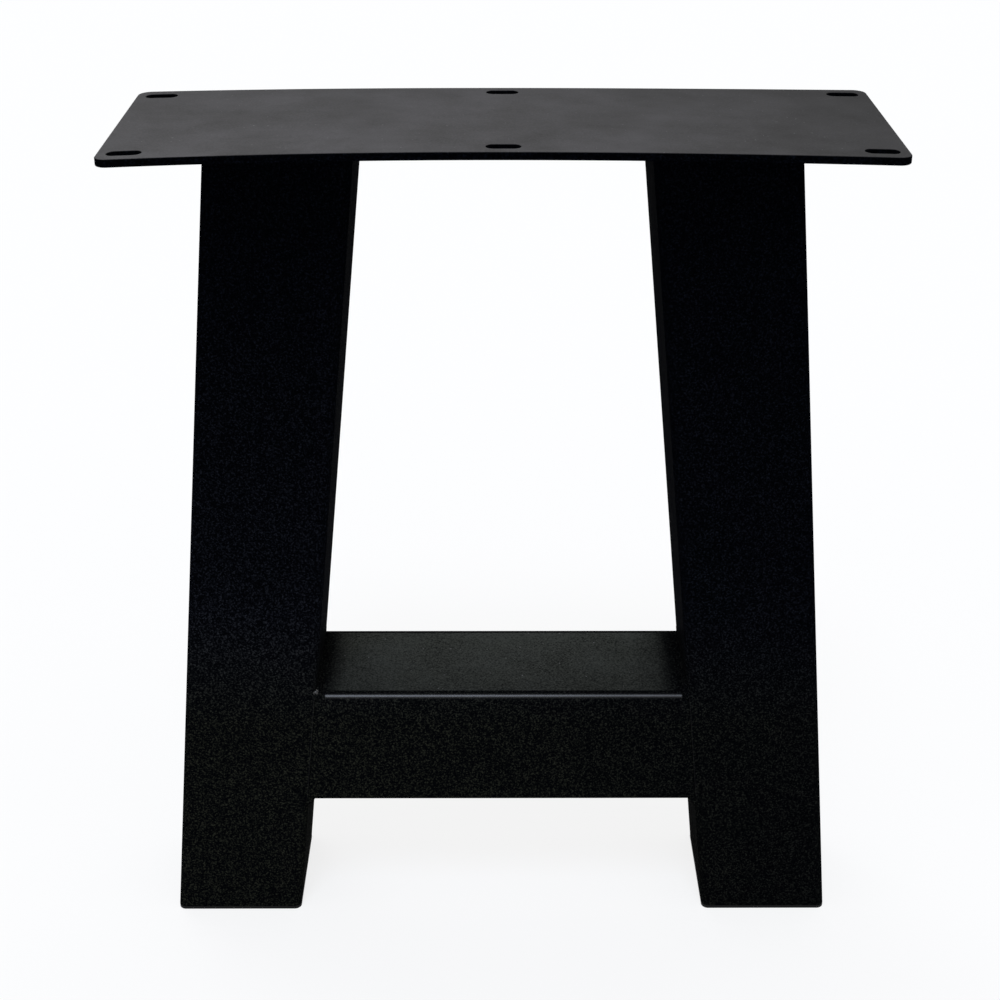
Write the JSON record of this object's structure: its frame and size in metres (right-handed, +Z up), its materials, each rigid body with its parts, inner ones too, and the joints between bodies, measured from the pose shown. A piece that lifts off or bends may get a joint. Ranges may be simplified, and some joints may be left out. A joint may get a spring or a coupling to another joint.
{
  "type": "trestle table leg",
  "caption": "Welded A-frame steel trestle leg: leaning square tubes under a slotted top plate, a low crossbar between them, capped feet.",
  "frame": {"origin": "on the floor, in the middle of the leg's footprint", "axes": "+X along the top plate, +Y from front to back, +Z up"},
  "size_m": [0.585, 0.19, 0.71],
  "materials": {
    "powder_coated_steel": "fine-textured satin black powder coat",
    "powder_coated_weld": "satin black powder coat over a weld bead",
    "black_plastic": "matt moulded plastic"
  },
  "bodies": {
    "root": {"top_plate": "powder_coated_steel", "left_leg_tube": "powder_coated_steel", "right_leg_tube": "powder_coated_steel", "crossbar_tube": "powder_coated_steel", "left_leg_plate_weld": "powder_coated_weld", "right_leg_plate_weld": "powder_coated_weld", "left_crossbar_weld": "powder_coated_weld", "right_crossbar_weld": "powder_coated_weld", "left_foot_cap": "black_plastic", "right_foot_cap": "black_plastic"}
  },
  "joints": []
}
